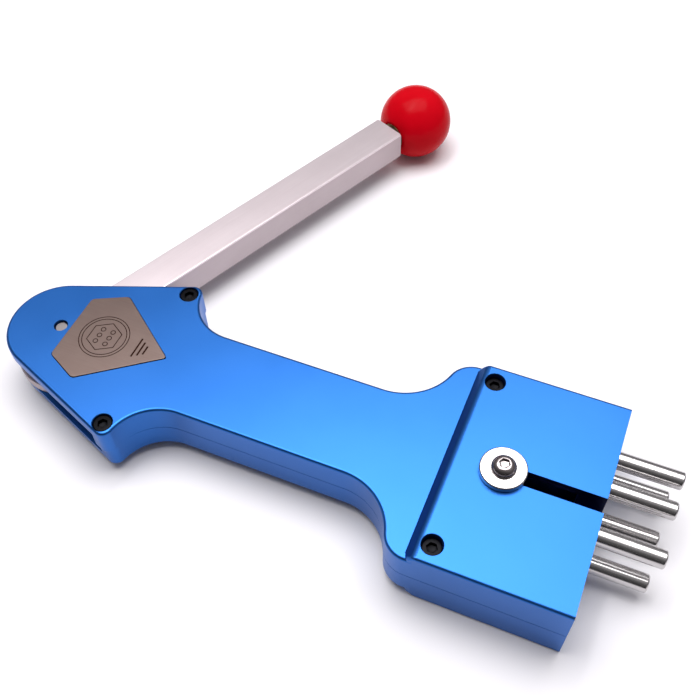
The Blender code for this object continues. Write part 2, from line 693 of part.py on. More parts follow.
def carriage(slide):
    block = box("carriage", (CARRIAGE_REAR, CARRIAGE_FRONT),
                (-CARRIAGE_HALF_WIDTH, CARRIAGE_HALF_WIDTH),
                (SPLIT_Z - CARRIAGE_RISE, SPLIT_Z + CARRIAGE_RISE), "satin_aluminium", slide)
    cutters = [cylinder("clamp_thread", CLAMP_SHANK_RADIUS + GAP, (0, 0, SPLIT_Z - 2.5), "Z", 20),
               cylinder("rack_screw_hole", ROD_SCREW_RADIUS + GAP,
                        (CARRIAGE_REAR - 1, (RACK_BACK + RACK_FACE) / 2, SPLIT_Z), "X", 30)]
    for name, y, z, end in rods():
        cutters.append(cylinder(name + "_seat", ROD_HOLE, (ROD_SEAT, y, z), "X", 20))
        cutters.append(cylinder(name + "_hole", ROD_SCREW_RADIUS + GAP, (CARRIAGE_REAR, y, z),
                                "X", 14))
        cutters.append(cylinder(name + "_bore", ROD_SCREW_HEAD + GAP, (CARRIAGE_REAR - 1, y, z),
                                "X", ROD_SCREW_SHOULDER - CARRIAGE_REAR + 1))
        foot = ROD_SEAT + GAP
        length = end - foot
        depth = ROD_THREAD_END - foot
        hole = ROD_SCREW_RADIUS + GAP
        turned(name, [(0, length), (ROD_RADIUS - 0.6, length), (ROD_RADIUS, length - 0.6),
                      (ROD_RADIUS, 0), (hole, 0), (hole, depth), (0, depth)],
               place((foot, y, z), "X"), "polished_steel", slide)
        turn = place((ROD_SCREW_SHOULDER - GAP, y, z), "X") @ Matrix.Rotation(math.pi, 4, "X")
        socket_screw(name + "_screw", (ROD_SCREW_HEAD, 3.6), (ROD_SCREW_RADIUS, 17.0), turn, 1.7,
                     "black_oxide", slide)
    for cutter in cutters:
        boolean(block, cutter)


def clamp(slide):
    top = SPLIT_Z + HEAD_RISE
    washer_foot = top + GAP
    washer_top = washer_foot + WASHER_THICKNESS
    turned("clamp_washer", ring_profile(CLAMP_SHANK_RADIUS + GAP, WASHER_RADIUS, washer_foot,
                                        washer_top, 0.3), place((0, 0, 0), "Z"),
           "polished_steel", slide, ring=True, steps=40)
    seat = washer_top + GAP
    socket_screw("clamp_screw", (CLAMP_HEAD_RADIUS, CLAMP_HEAD_HEIGHT),
                 (CLAMP_SHANK_RADIUS, seat - SPLIT_Z + 1.5), place((0, 0, seat), "Z"), 2.3,
                 "polished_steel", slide, domed=True)


# ---------------------------------------------------------------- assembly

def main():
    clear_scene()
    new_collection(PARTS_NAME)
    new_collection(CUTTERS_NAME)
    upper_shell()
    lower_shell()
    case_screws()
    shell_dowels()
    pivot_and_stop()
    badge_plate()
    lever()
    slide = empty("carriage_slide", 0, 0)
    push_rack(slide)
    carriage(slide)
    clamp(slide)


main()
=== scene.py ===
# %% [markdown]
# # A hand-lever rod press, finished for looks
# The press is a flat blue body made of two aluminium shells. A square lever with a red ball
# turns a pinion at the narrow end, and six steel rods come out of the wide head.
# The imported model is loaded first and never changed. Each visible part then gets either a
# finer piece that stands for it, or a better finish. All drawing is done in millimetres: MM
# turns them into metres, and GAP is the air that is left between two pieces.

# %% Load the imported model
import json
import math

import bmesh
import bpy
from mathutils import Matrix, Vector


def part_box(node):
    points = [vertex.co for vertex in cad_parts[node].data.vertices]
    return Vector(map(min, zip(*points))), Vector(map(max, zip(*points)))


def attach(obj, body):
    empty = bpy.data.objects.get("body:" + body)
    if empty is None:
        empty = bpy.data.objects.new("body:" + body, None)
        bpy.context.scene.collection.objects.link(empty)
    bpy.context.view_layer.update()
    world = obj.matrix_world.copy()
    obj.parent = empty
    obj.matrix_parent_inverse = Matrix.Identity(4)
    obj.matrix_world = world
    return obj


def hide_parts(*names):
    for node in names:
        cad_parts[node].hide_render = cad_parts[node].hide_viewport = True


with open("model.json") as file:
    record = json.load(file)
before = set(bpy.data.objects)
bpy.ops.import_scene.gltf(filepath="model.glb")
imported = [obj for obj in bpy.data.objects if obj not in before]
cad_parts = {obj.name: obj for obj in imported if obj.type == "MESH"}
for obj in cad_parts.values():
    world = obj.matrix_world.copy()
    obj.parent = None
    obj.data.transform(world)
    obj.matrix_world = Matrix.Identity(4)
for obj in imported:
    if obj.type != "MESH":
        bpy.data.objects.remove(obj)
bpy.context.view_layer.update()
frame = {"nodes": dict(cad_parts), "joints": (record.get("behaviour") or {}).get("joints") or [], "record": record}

MM = 0.001
GAP = 0.3

# %% [markdown]
# ## Places that everything else hangs on
# Sizes that the model already holds are read from it, so the finer pieces can't drift away.
# A node's box gives the middle and the width of a pin, a screw or a rod.

# %% Read places from the model
def span(node):
    """Lowest and highest corner of a node, in millimetres."""
    low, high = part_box(node)
    return low / MM, high / MM


def middle(node):
    low, high = span(node)
    return (low + high) / 2


def width(node, axis=0):
    low, high = span(node)
    return (high - low)[axis]


joints = {joint["name"]: joint for joint in frame["joints"]}
PIVOT = Vector(joints["lever_swing"]["pos_m"]) / MM
BALL = middle("ball_knob")
LEVER_TURN = math.atan2(BALL.y - PIVOT.y, BALL.x - PIVOT.x)
JOINT_Z = PIVOT.z
HEAD_FRONT = span("upper_shell")[1].x
HEAD_TOP = span("upper_shell")[1].z
HEAD_HALF_WIDTH = span("upper_shell")[1].y
LOBE_RADIUS = {1: PIVOT.x - span("upper_shell")[0].x, -1: PIVOT.x - span("lower_shell")[0].x}
print("pivot", PIVOT, "lever turned by", round(math.degrees(LEVER_TURN), 2), "degrees")

# %% [markdown]
# ## A pen that draws with mesh operators
# Nearly every part of a machined tool is a flat outline given a thickness, or a profile turned
# on a lathe. Both start as one line. A straight run is a vertex extruded to the next corner, and
# a round run is a vertex spun about the arc's centre, so no list of points is needed.

# %% The pen
# A round run takes a step every few degrees, and vertices closer than MERGE are joined.
ARC_STEP = 2.5
MERGE = 0.001


class Pen:
    """Draws a line in a bmesh: straight runs by extruding, round ones by spinning."""

    def __init__(self, x, y):
        self.shape = bmesh.new()
        self.tip = bmesh.ops.create_vert(self.shape, co=(x, y, 0))["vert"][0]

    def to(self, x, y):
        self.tip = bmesh.ops.extrude_vert_indiv(self.shape, verts=[self.tip])["verts"][0]
        self.tip.co = (x, y, 0)
        return self

    def turn(self, x, y, degrees, step=ARC_STEP):
        """Goes round a centre, anticlockwise where the degrees are positive."""
        made = bmesh.ops.spin(self.shape, geom=[self.tip], cent=(x, y, 0), axis=(0, 0, 1),
                              dvec=(0, 0, 0), angle=math.radians(degrees),
                              steps=max(2, round(abs(degrees) / step)),
                              use_merge=False, use_duplicate=False)
        self.tip = made["geom_last"][0]
        return self

    def mirrored(self):
        """Adds the other half of a line that starts and ends on y = 0."""
        bmesh.ops.mirror(self.shape, geom=self.shape.verts[:] + self.shape.edges[:],
                         matrix=Matrix(), merge_dist=MERGE, axis="Y")
        return self


def clean(shape):
    bmesh.ops.remove_doubles(shape, verts=shape.verts[:], dist=MERGE)
    bmesh.ops.recalc_face_normals(shape, faces=shape.faces[:])
    return shape


def thicken(shape, low, high):
    """Gives flat faces at height 0 a thickness between two heights."""
    bmesh.ops.translate(shape, verts=shape.verts[:], vec=(0, 0, low))
    grown = bmesh.ops.extrude_face_region(shape, geom=shape.faces[:])["geom"]
    lifted = [part for part in grown if isinstance(part, bmesh.types.BMVert)]
    bmesh.ops.translate(shape, verts=lifted, vec=(0, 0, high - low))
    return clean(shape)


def slab(pen, low, high, inset=0.0):
    """A closed line, drawn in by an inset, filled and made as thick as two heights say."""
    shape = pen.shape
    bmesh.ops.remove_doubles(shape, verts=shape.verts[:], dist=MERGE)
    faces = bmesh.ops.contextual_create(shape, geom=shape.edges[:])["faces"]
    if inset:
        border = bmesh.ops.inset_region(shape, faces=faces, thickness=inset,
                                        use_boundary=True, use_even_offset=True)["faces"]
        bmesh.ops.delete(shape, geom=border, context="FACES")
    return thicken(shape, low, high)


def lathe(pen, steps=96):
    """A line of (radius, height) points turned about the Z axis."""
    shape = pen.shape
    bmesh.ops.rotate(shape, verts=shape.verts[:], cent=(0, 0, 0),
                     matrix=Matrix.Rotation(math.radians(90), 3, "X"))
    bmesh.ops.spin(shape, geom=shape.verts[:] + shape.edges[:], cent=(0, 0, 0), axis=(0, 0, 1),
                   dvec=(0, 0, 0), angle=2 * math.pi, steps=steps, use_merge=True,
                   use_duplicate=False)
    return clean(shape)


trial = slab(Pen(0, 0).to(10, 0).to(10, 5).turn(5, 5, 180).to(0, 0), 0, 3)
print("trial slab has", len(trial.faces), "faces, open edges:",
      sum(edge.is_boundary for edge in trial.edges))
trial.free()

# %% [markdown]
# ## Blocks, holes and soft edges
# A hole is cut with a Boolean modifier, as a drill would cut it. The cutter is a turned shape
# with a slightly wider mouth, so the hole gets the small chamfer that a machinist leaves. The
# modifiers are settled into the mesh at once and the cutters removed, so one mesh is left.

# %% Solids and cutters
def block(x, y, z):
    """A box from three (low, high) pairs."""
    shape = bmesh.new()
    bmesh.ops.create_cube(shape, size=1.0)
    low, high = (Vector(ends) for ends in zip(x, y, z))
    bmesh.ops.scale(shape, vec=high - low, verts=shape.verts[:])
    bmesh.ops.translate(shape, vec=(low + high) / 2, verts=shape.verts[:])
    return shape


def moved(shape, matrix):
    bmesh.ops.transform(shape, matrix=matrix, verts=shape.verts[:])
    return shape


def at(x, y, z, axis="Z"):
    """Stands a shape that is drawn along Z on a point, upright or laid along X."""
    turn = {"Z": 0, "X": 90}[axis]
    return Matrix.Translation((x, y, z)) @ Matrix.Rotation(math.radians(turn), 4, "Y")


def drill(radius, depth, mouth=0.0, over=2.0):
    """A cutter that goes down by a depth and stands over the surface, chamfered at the mouth."""
    pen = Pen(0, -depth).to(radius, -depth)
    if mouth:
        pen.to(radius, -mouth).to(radius + mouth + over, over)
    else:
        pen.to(radius, over)
    return lathe(pen.to(0, over), 64)


def round_bar(radius, low, high, chamfer):
    """The profile of an upright bar with a chamfer at both ends."""
    pen = Pen(0, high).to(radius - chamfer, high).to(radius, high - chamfer)
    return pen.to(radius, low + chamfer).to(radius - chamfer, low).to(0, low)


def soften(shape, edges, size, segments=5):
    bmesh.ops.bevel(shape, geom=edges, offset=size, offset_type="OFFSET", segments=segments,
                    profile=0.5, affect="EDGES", clamp_overlap=False, material=-1)
    return shape


def edges_where(shape, test):
    """Edges with both ends passing a test on their place."""
    return [edge for edge in shape.edges if all(test(vert.co) for vert in edge.verts)]


# %% [markdown]
# ## From a shape to a finished piece
# A shape becomes an object, and its modifiers are applied to its mesh at once. Shading is smooth
# up to a crease angle, and weighted normals keep the flat faces flat beside the rounded edges.
# At the end the piece is tied to the body that it moves with, and the node of the model that it
# stands for is hidden. Its finish is its only material.

# %% Turn shapes into finished pieces
CREASE = 30


def as_object(name, shape):
    mesh = bpy.data.meshes.new(name)
    bmesh.ops.scale(shape, vec=(MM, MM, MM), verts=shape.verts[:])
    shape.to_mesh(mesh)
    shape.free()
    thing = bpy.data.objects.new(name, mesh)
    bpy.context.scene.collection.objects.link(thing)
    return thing


def settle(thing):
    """Applies an object's modifiers to its mesh."""
    bpy.context.view_layer.update()
    final = bpy.data.meshes.new_from_object(
        thing.evaluated_get(bpy.context.evaluated_depsgraph_get()))
    thing.modifiers.clear()
    thing.data = final
    return thing


def combine(thing, shapes, operation):
    """Adds or cuts away a list of shapes, one Boolean for each."""
    for shape in shapes:
        tool = as_object("tool", shape)
        change = thing.modifiers.new("change", "BOOLEAN")
        change.operation = operation
        change.solver = "EXACT"
        change.object = tool
        settle(thing)
        bpy.data.objects.remove(tool, do_unlink=True)
    return thing


def dress(thing, finish, body, nodes):
    """Gives a piece its shading and finish, and ties it to the model."""
    mesh = thing.data
    mesh.materials.clear()
    mesh.materials.append(finish)
    mesh.shade_smooth()
    mesh.set_sharp_from_angle(angle=math.radians(CREASE))
    level = thing.modifiers.new("even_shading", "WEIGHTED_NORMAL")
    level.keep_sharp = True
    settle(thing)
    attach(thing, body)
    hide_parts(*nodes)
    print(thing.name, "has", len(thing.data.polygons), "faces")
    return thing


# %% [markdown]
# ## Shader maths written as sums
# A finish is easier to read as a formula than as a web of nodes. One small class wraps a socket
# and turns +, - and * into Math nodes. Colours are mixed by Mix nodes.

# %% A finish builder
class Wire:
    """An output socket that can be used in sums."""

    def __init__(self, finish, socket):
        self.finish = finish
        self.socket = socket

    def maths(self, operation, first, second):
        return self.finish.node("ShaderNodeMath", {"operation": operation},
                                {0: first, 1: second})

    def __add__(self, other):
        return self.maths("ADD", self, other)

    def __radd__(self, other):
        return self.maths("ADD", other, self)

    def __rsub__(self, other):
        return self.maths("SUBTRACT", other, self)

    def __mul__(self, other):
        return self.maths("MULTIPLY", self, other)

    def __rmul__(self, other):
        return self.maths("MULTIPLY", other, self)

    def above(self, limit):
        """1 where the value is above a limit and 0 elsewhere."""
        return self.maths("GREATER_THAN", self, limit)


class Finish:
    """A material built around one Principled shader."""

    def __init__(self, name, metallic=1.0):
        self.material = bpy.data.materials.new(name)
        self.material.use_nodes = True
        self.tree = self.material.node_tree
        self.shader = self.tree.nodes["Principled BSDF"]
        self.put("Metallic", metallic)

    def node(self, kind, settings, inputs, output=0):
        made = self.tree.nodes.new(kind)
        for name, value in settings.items():
            setattr(made, name, value)
        for name, value in inputs.items():
            self.feed(made.inputs[name], value)
        return Wire(self, made.outputs[output])

    def feed(self, socket, value):
        if isinstance(value, Wire):
            self.tree.links.new(value.socket, socket)
        else:
            socket.default_value = value

    def put(self, name, value):
        self.feed(self.shader.inputs[name], value)
        return self

    def here(self):
        return self.node("ShaderNodeTexCoord", {}, {}, "Object")

    def along(self, axis):
        """How far a point lies along X, Y or Z, in metres."""
        return self.node("ShaderNodeSeparateXYZ", {}, {0: self.here()}, axis)

    def place(self, centre=(0, 0, 0), turn=0.0, scale=(1, 1, 1)):
        """Where a point lies on the piece, moved, turned about Z and stretched."""
        local = self.node("ShaderNodeMapping", {"vector_type": "TEXTURE"},
                          {"Vector": self.here(), "Location": [c * MM for c in centre],
                           "Rotation": (0, 0, turn)})
        return self.node("ShaderNodeMapping", {"vector_type": "POINT"},
                         {"Vector": local, "Scale": scale})

    def noise(self, where, scale, detail, roughness=0.5):
        return self.node("ShaderNodeTexNoise", {},
                         {"Vector": where, "Scale": scale, "Detail": detail,
                          "Roughness": roughness})

    def mix(self, amount, first, second):
        return self.node("ShaderNodeMix", {"data_type": "RGBA"},
                         {0: amount, 6: first, 7: second}, 2)

    def relief(self, height, depth_mm, strength):
        return self.put("Normal", self.node("ShaderNodeBump", {},
                                            {"Strength": strength, "Distance": depth_mm * MM,
                                             "Height": height}))


# %% [markdown]
# ## Blue anodised aluminium
# Anodising fills a clear skin on the metal with dye, so the colour sits in the reflection itself:
# a metallic shader with a blue base. Before the bath the metal is blasted with fine beads, which
# leaves a grain of about a third of a millimetre that only breaks up the highlight. Shade is
# painted into the clamp screw's slot: a mask finds its walls by their place and makes the base
# colour near black there.

# %% Finish for the shells
SLOT_HALF = 3.5
SLOT_END = -1.0


def rgba(red, green, blue):
    return (red, green, blue, 1.0)


def slot_shade_mask(finish):
    """Where shade is painted: 1 on the walls of the clamp screw's slot and 0 everywhere else."""
    x, y, z = [finish.along(axis) for axis in "XYZ"]
    below = 1.0 - z.above((HEAD_TOP - 0.3) * MM)
    beside = 1.0 - (y * y).above(((SLOT_HALF + 0.2) * MM) ** 2)
    return below * beside * x.above((SLOT_END - 5.0) * MM)


def blue_anodised():
    finish = Finish("blue_anodised")
    here = finish.place()
    grain = finish.noise(here, 2600.0, 3.0, 0.6)
    cloud = finish.noise(here, 30.0, 2.0)
    slot_shade = slot_shade_mask(finish)
    dye = finish.mix(cloud, rgba(0.023, 0.120, 0.41), rgba(0.030, 0.142, 0.47))
    # Painted shade: the base colour goes near black inside the clamp screw's slot.
    finish.put("Base Color", finish.mix(slot_shade, dye, rgba(0.006, 0.012, 0.07)))
    finish.put("Roughness", 0.30 + 0.10 * grain + 0.04 * cloud)
    finish.relief(grain, 0.012, 0.6)
    return finish.material


# %% [markdown]
# ## Bare aluminium, steel and brass
# Drawn bar has fine lines along its length, and turned steel has fine rings round it. Both are
# the same noise, stretched hard in one direction. The lines also change the roughness a little,
# which is what the eye reads as brushing. The lever's sides get a painted shade, a darker copy of
# the colour of its top and chamfers, which are also a little smoother, and height alone tells the
# two apart.

# %% Finishes for bare metal
# How finely the noise changes along X, Y and Z.
LEVER_LINES = (25.0, 2600.0, 2600.0)
RING_LINES = (2400.0, 60.0, 60.0)
UPRIGHT_RINGS = (60.0, 60.0, 2400.0)
BRUSH_SPREAD = 0.12
LEVER_CHAMFER = 0.7


def line_noise(finish, place):
    return finish.noise(place, 1.0, 3.0, 0.65)


def brushed(name, colour, roughness, stretch, depth_mm):
    finish = Finish(name)
    lines = line_noise(finish, finish.place(scale=stretch))
    cloud = finish.noise(finish.place(), 60.0, 3.0)
    dark = rgba(*[value * 0.82 for value in colour])
    finish.put("Base Color", finish.mix(lines * 0.6 + cloud * 0.4, dark, rgba(*colour)))
    finish.put("Roughness", roughness - BRUSH_SPREAD / 2 + BRUSH_SPREAD * lines + 0.05 * cloud)
    finish.relief(lines, depth_mm, 0.5)
    return finish.material


def black_oxide():
    finish = Finish("black_oxide")
    grain = finish.noise(finish.place(), 1500.0, 2.0)
    finish.put("Base Color", finish.mix(grain, rgba(0.003, 0.003, 0.004),
                                        rgba(0.014, 0.014, 0.016)))
    finish.put("Roughness", 0.32 + 0.2 * grain)
    finish.relief(grain, 0.01, 0.5)
    return finish.material


def lever_bar_aluminium(top):
    """Drawn bar with painted shade: the sides are darker than the top and its chamfers."""
    finish = Finish("lever_bar_aluminium")
    lines = line_noise(finish, finish.place(PIVOT, LEVER_TURN, LEVER_LINES))
    cloud = finish.noise(finish.place(), 45.0, 4.0, 0.6)
    wear = lines * 0.45 + cloud * 0.55
    # Painted shade: the sides take a darker copy of the top's colour; the top is also smoother.
    shaded_sides = finish.mix(wear, rgba(0.40, 0.34, 0.35), rgba(0.52, 0.45, 0.47))
    top_colour = finish.mix(wear, rgba(0.74, 0.64, 0.67), rgba(0.90, 0.80, 0.83))
    face = finish.along("Z").above((top - LEVER_CHAMFER - 0.05) * MM)
    finish.put("Base Color", finish.mix(face, shaded_sides, top_colour))
    finish.put("Roughness", 0.42 - 0.10 * face + 0.10 * lines)
    finish.relief(lines, 0.006, 0.5)
    return finish.material


# Colour, roughness, direction of the lines and their depth in millimetres.
BARE_METALS = {
    "satin_aluminium": ((0.74, 0.67, 0.69), 0.36, UPRIGHT_RINGS, 0.006),
    "polished_steel": ((0.62, 0.60, 0.60), 0.16, RING_LINES, 0.004),
    "machined_steel": ((0.34, 0.31, 0.31), 0.32, UPRIGHT_RINGS, 0.006),
    "bronze": ((0.50, 0.33, 0.16), 0.35, UPRIGHT_RINGS, 0.006),
    "brass": ((0.42, 0.29, 0.12), 0.3, UPRIGHT_RINGS, 0.006),
}
FINISHES = {name: brushed(name, *recipe) for name, recipe in BARE_METALS.items()}
FINISHES["blue_anodised"] = blue_anodised()
FINISHES["black_oxide"] = black_oxide()
print("finishes:", ", ".join(FINISHES))

# %% [markdown]
# ## The ball and the badge plate
# The ball is moulded phenolic resin: a deep red with faint flow marks and a weak, soft gloss.
# The plate is nickel, brushed one way, and its engraving is filled with brown.
# The engraving is a real groove, so its finish can tell the floor from the face by height alone.

# %% Finishes for the ball and the badge
def red_resin():
    finish = Finish("red_resin", metallic=0.0)
    finish.put("Specular IOR Level", 0.04)
    swirl = finish.noise(finish.place(BALL), 70.0, 3.0, 0.6)
    ripple = finish.noise(finish.place(BALL), 420.0, 2.0)
    finish.put("Base Color", finish.mix(swirl, rgba(0.44, 0.001, 0.005), rgba(0.58, 0.002, 0.010)))
    finish.put("Roughness", 0.14 + 0.08 * ripple)
    finish.relief(ripple, 0.01, 0.4)
    return finish.material


PLATE_TOP = span("badge_plate")[1].z
PLATE_LINES = (40.0, 2600.0, 200.0)


def nickel_plate():
    finish = Finish("nickel_plate")
    face = finish.along("Z").above((PLATE_TOP - 0.06) * MM)
    lines = line_noise(finish, finish.place(scale=PLATE_LINES))
    cloud = finish.noise(finish.place(), 90.0, 3.0)
    metal = finish.mix(lines * 0.5 + cloud * 0.5, rgba(0.15, 0.105, 0.094),
                       rgba(0.22, 0.165, 0.148))
    finish.put("Base Color", finish.mix(face, rgba(0.035, 0.014, 0.010), metal))
    finish.put("Roughness", 0.62 - 0.32 * face + 0.1 * lines)
    finish.relief(lines, 0.005, 0.5)
    return finish.material


FINISHES["red_ball"] = red_resin()
FINISHES["nickel_badge"] = nickel_plate()

# %% [markdown]
# ## The outline of the body
# Seen from above the body is a bone: a wide head, a slim waist for the hand and a pointed rear
# with a round end about the pivot. Half of it is drawn and mirrored. Each hollow arc leaves the
# waist straight and meets a round corner without a kink, so its radius follows from those two.

# %% Draw the body's outline
HEAD_REAR = -25.2
HEAD_CORNER = 3.0
INTO_HEAD = 8.0
# A round corner is the X and Y of its centre and its radius; 1 is the top shell, -1 the bottom.
SHOULDER = (-24.8, 38.0, 12.0)
REAR_CORNER = {1: (-166.8, 40.8, 4.5), -1: (-166.8, 39.6, 4.5)}
# The waist's rear end, its front end and half its width.
WAIST = (-140.0, -61.5, 23.0)


def hollow(corner, start_x):
    """Centre, radius and end angle of the hollow arc between the waist and a round corner."""
    x, y, corner_radius = corner
    along = x - start_x
    across = y - WAIST[2]
    radius = (along ** 2 + across ** 2 - corner_radius ** 2) / (2 * (corner_radius + across))
    centre_y = WAIST[2] + radius
    return start_x, centre_y, radius, math.degrees(math.atan2(y - centre_y, along))


def body_outline(side):
    lobe_radius = LOBE_RADIUS[side]
    front = hollow(SHOULDER, WAIST[1])
    rear = hollow(REAR_CORNER[side], WAIST[0])
    x, y, corner_radius = REAR_CORNER[side]
    reach = math.hypot(x - PIVOT.x, y)
    lean = math.degrees(math.atan2(y, x - PIVOT.x)
                        - math.asin((lobe_radius - corner_radius) / reach))
    top = SHOULDER[1] + SHOULDER[2]
    start = HEAD_REAR + INTO_HEAD
    pen = Pen(start, 0).to(start, top).to(SHOULDER[0], top)
    pen.turn(SHOULDER[0], SHOULDER[1], front[3] + 90)
    pen.turn(front[0], front[1], -90 - front[3])
    pen.to(WAIST[0], WAIST[2])
    rear_angle = rear[3] if rear[3] < 0 else rear[3] - 360
    pen.turn(rear[0], rear[1], rear_angle + 90)
    pen.turn(x, y, 90 + lean - (rear_angle + 180))
    tangent = math.radians(90 + lean)
    pen.to(PIVOT.x + lobe_radius * math.cos(tangent), lobe_radius * math.sin(tangent))
    pen.turn(PIVOT.x, 0, 90 - lean)
    return pen.mirrored()


# %% [markdown]
# ## Two shells from one recipe
# The shells are nearly mirror images, so one function makes both and a side of 1 or -1 flips
# the heights. The rim is rounded with a bevel before anything is cut, because a bevel that
# meets a hole's edge tends to tear. The head is a thicker block with a sloped rear edge.

# %% Make the blank of a shell
HANDLE_RISE = {1: 14.0, -1: 13.2}
HEAD_RISE = HEAD_TOP - JOINT_Z
RIM = 1.5
# Places closer than this count as the same.
NEAR = 0.01


def rise(side, *heights):
    """World heights, low to high, of heights measured away from the joint plane."""
    return sorted(JOINT_Z + side * height for height in heights)


def shell_blank(side):
    name = {1: "top_half", -1: "bottom_half"}[side]
    thickness = HANDLE_RISE[side]
    handle = slab(body_outline(side), *rise(side, GAP / 2, thickness))
    face = JOINT_Z + side * thickness
    soften(handle, edges_where(handle, lambda p: abs(p.z - face) < NEAR), RIM)

    pen = Pen(HEAD_FRONT, 0).to(HEAD_FRONT, HEAD_HALF_WIDTH)
    pen.to(HEAD_REAR + HEAD_CORNER, HEAD_HALF_WIDTH)
    pen.turn(HEAD_REAR + HEAD_CORNER, HEAD_HALF_WIDTH - HEAD_CORNER, 90).to(HEAD_REAR, 0)
    head = slab(pen.mirrored(), *rise(side, GAP / 2, HEAD_RISE))
    top = JOINT_Z + side * HEAD_RISE
    cut = bmesh.ops.bisect_plane(head, geom=head.verts[:] + head.edges[:] + head.faces[:],
                                 plane_co=(HEAD_REAR, 0, face), plane_no=(-1, 0, side),
                                 clear_outer=True)["geom_cut"]
    bmesh.ops.edgeloop_fill(head, edges=[part for part in cut
                                         if isinstance(part, bmesh.types.BMEdge)])
    clean(head)
    rim = edges_where(head, lambda p: abs(p.z - JOINT_Z) > thickness - NEAR)
    rim = [edge for edge in rim if any(abs(abs(vert.co.z - JOINT_Z) - thickness) > NEAR
                                       for vert in edge.verts)]
    front = edges_where(head, lambda p: p.x > HEAD_FRONT - NEAR)
    soften(head, [edge for edge in rim if edge not in front], RIM)
    # A bevel can push a corner a little past the side, so the sides are made flat again.
    for vert in head.verts:
        vert.co.y = max(-HEAD_HALF_WIDTH, min(HEAD_HALF_WIDTH, vert.co.y))
    return combine(as_object(name, handle), [head], "UNION")


# %% [markdown]
# ## Hollows and holes
# The lever swings in a pocket at the rear, the rack runs in a channel along the waist, and the
# carriage slides in a cavity in the head. Holes for pins and rods are read from the model: each
# is as wide as its pin plus the running gap. Every cutter reaches past the face that it opens,
# because two faces in one plane confuse a Boolean.

# %% Cut a shell
# Rear, front and rise of the pocket; rear, front, half width and rise of the cavity.
POCKET = (PIVOT.x - 40, -172.0, 8.5)
CAVITY = (-24.0, 31.0, 35.4, 14.0)
CHANNEL_RISE = 7.5
BUSH_DEPTH = 2.8
PEG_DEPTH = 4.0
DOWEL_DEPTH = 6.0
ROD_BORE_DEPTH = 14.0
PAST = 1.0
RODS = {1: ["rod_upper_1", "rod_upper_2", "rod_upper_3"],
        -1: ["rod_lower_1", "rod_lower_2", "rod_lower_3"]}
DOWELS = ["head_dowel_far", "head_dowel_near", "rear_dowel_far", "rear_dowel_near"]


def hole_for(node, side, low, high):
    """An upright hole around a pin, between two heights from the joint plane."""
    bottom, top = rise(side, low, high)
    spot = middle(node)
    cutter = drill(width(node) / 2 + GAP, top - bottom, over=0.0)
    return moved(cutter, at(spot.x, spot.y, top))


def shared_cuts(side):
    rack = span("push_rack")
    bar = (rack[0].y - 2 * GAP, rack[1].y + 2 * GAP)
    roof = POCKET[2]
    # The pocket goes right through from side to side, and the pivot's hole through the face.
    cuts = [block(POCKET[:2], (-60, 60), rise(side, -PAST, roof)),
            block((POCKET[1] - PAST, CAVITY[0] + PAST), bar, rise(side, -PAST, CHANNEL_RISE)),
            block(CAVITY[:2], (-CAVITY[2], CAVITY[2]), rise(side, -PAST, CAVITY[3])),
            hole_for("pivot_pin", side, roof - PAST, 20),
            hole_for("upper_bush", side, roof - PAST, roof + BUSH_DEPTH + GAP),
            hole_for("stop_pin", side, roof - PAST, roof + PEG_DEPTH)]
    cuts += [hole_for(node, side, -PAST, DOWEL_DEPTH + GAP) for node in DOWELS]
    for node in RODS[side]:
        spot = middle(node)
        bore = drill(width(node, 1) / 2 + GAP, ROD_BORE_DEPTH)
        cuts.append(moved(bore, at(HEAD_FRONT, spot.y, spot.z, "X")))
    return cuts


# %% [markdown]
# ## What only the top shell has
# The clamp screw needs a slot that is open at the front, the badge needs a shallow recess, and
# the four screws that hold the shells together sink deep into counterbores. The screws' threads
# end in plain holes in the bottom shell.

# %% Cut the top shell
CASE_SCREWS = {"head_screw_far": HEAD_RISE, "head_screw_near": HEAD_RISE,
               "rear_screw_far": HANDLE_RISE[1], "rear_screw_near": HANDLE_RISE[1]}
SLOT_FLOOR = 1.0
CLEAR_TOP = HEAD_TOP + 4.0
CAP_HEIGHT = 4.0
COUNTERBORE = 4.5
SHANK = 2.5
# The badge's rear corner, its wide corner and its point, measured from its middle line.
BADGE = [(-210.0, 17.8), (-193.6, 25.8), (-158.6, 0.0)]
BADGE_Y = 1.5
BADGE_CORNER = 1.5
BADGE_RECESS = 1.3


def badge_slab(low, high, inset):
    """The five-sided badge: sharp corners first, then a bevel rounds the upright edges."""
    corners = [(x, BADGE_Y + y) for x, y in BADGE]
    corners += [(x, BADGE_Y - y) for x, y in BADGE[1::-1]]
    pen = Pen(*corners[0])
    for x, y in corners[1:] + corners[:1]:
        pen.to(x, y)
    shape = slab(pen, low, high, inset)
    upright = [edge for edge in shape.edges
               if abs(edge.verts[0].co.z - edge.verts[1].co.z) > 0.1]
    return soften(shape, upright, BADGE_CORNER, 6)


def top_cuts():
    slot_floor = JOINT_Z + SLOT_FLOOR
    cuts = [block((SLOT_END, HEAD_FRONT + PAST), (-SLOT_HALF, SLOT_HALF), (slot_floor, CLEAR_TOP)),
            moved(drill(SLOT_HALF, CLEAR_TOP - slot_floor, over=0.0), at(SLOT_END, 0, CLEAR_TOP)),
            badge_slab(JOINT_Z + HANDLE_RISE[1] - BADGE_RECESS, PLATE_TOP + PAST, 0.0),
            hole_for("roller_stud", 1, POCKET[2] - PAST, POCKET[2] + PEG_DEPTH)]
    for node, face in CASE_SCREWS.items():
        spot = middle(node)
        seat = span(node)[1].z - CAP_HEIGHT - GAP
        top = JOINT_Z + face
        cuts.append(moved(drill(COUNTERBORE, top - seat, 0.25), at(spot.x, spot.y, top)))
        through = drill(SHANK + GAP, seat + PAST - (JOINT_Z - PAST))
        cuts.append(moved(through, at(spot.x, spot.y, seat + PAST)))
    return cuts


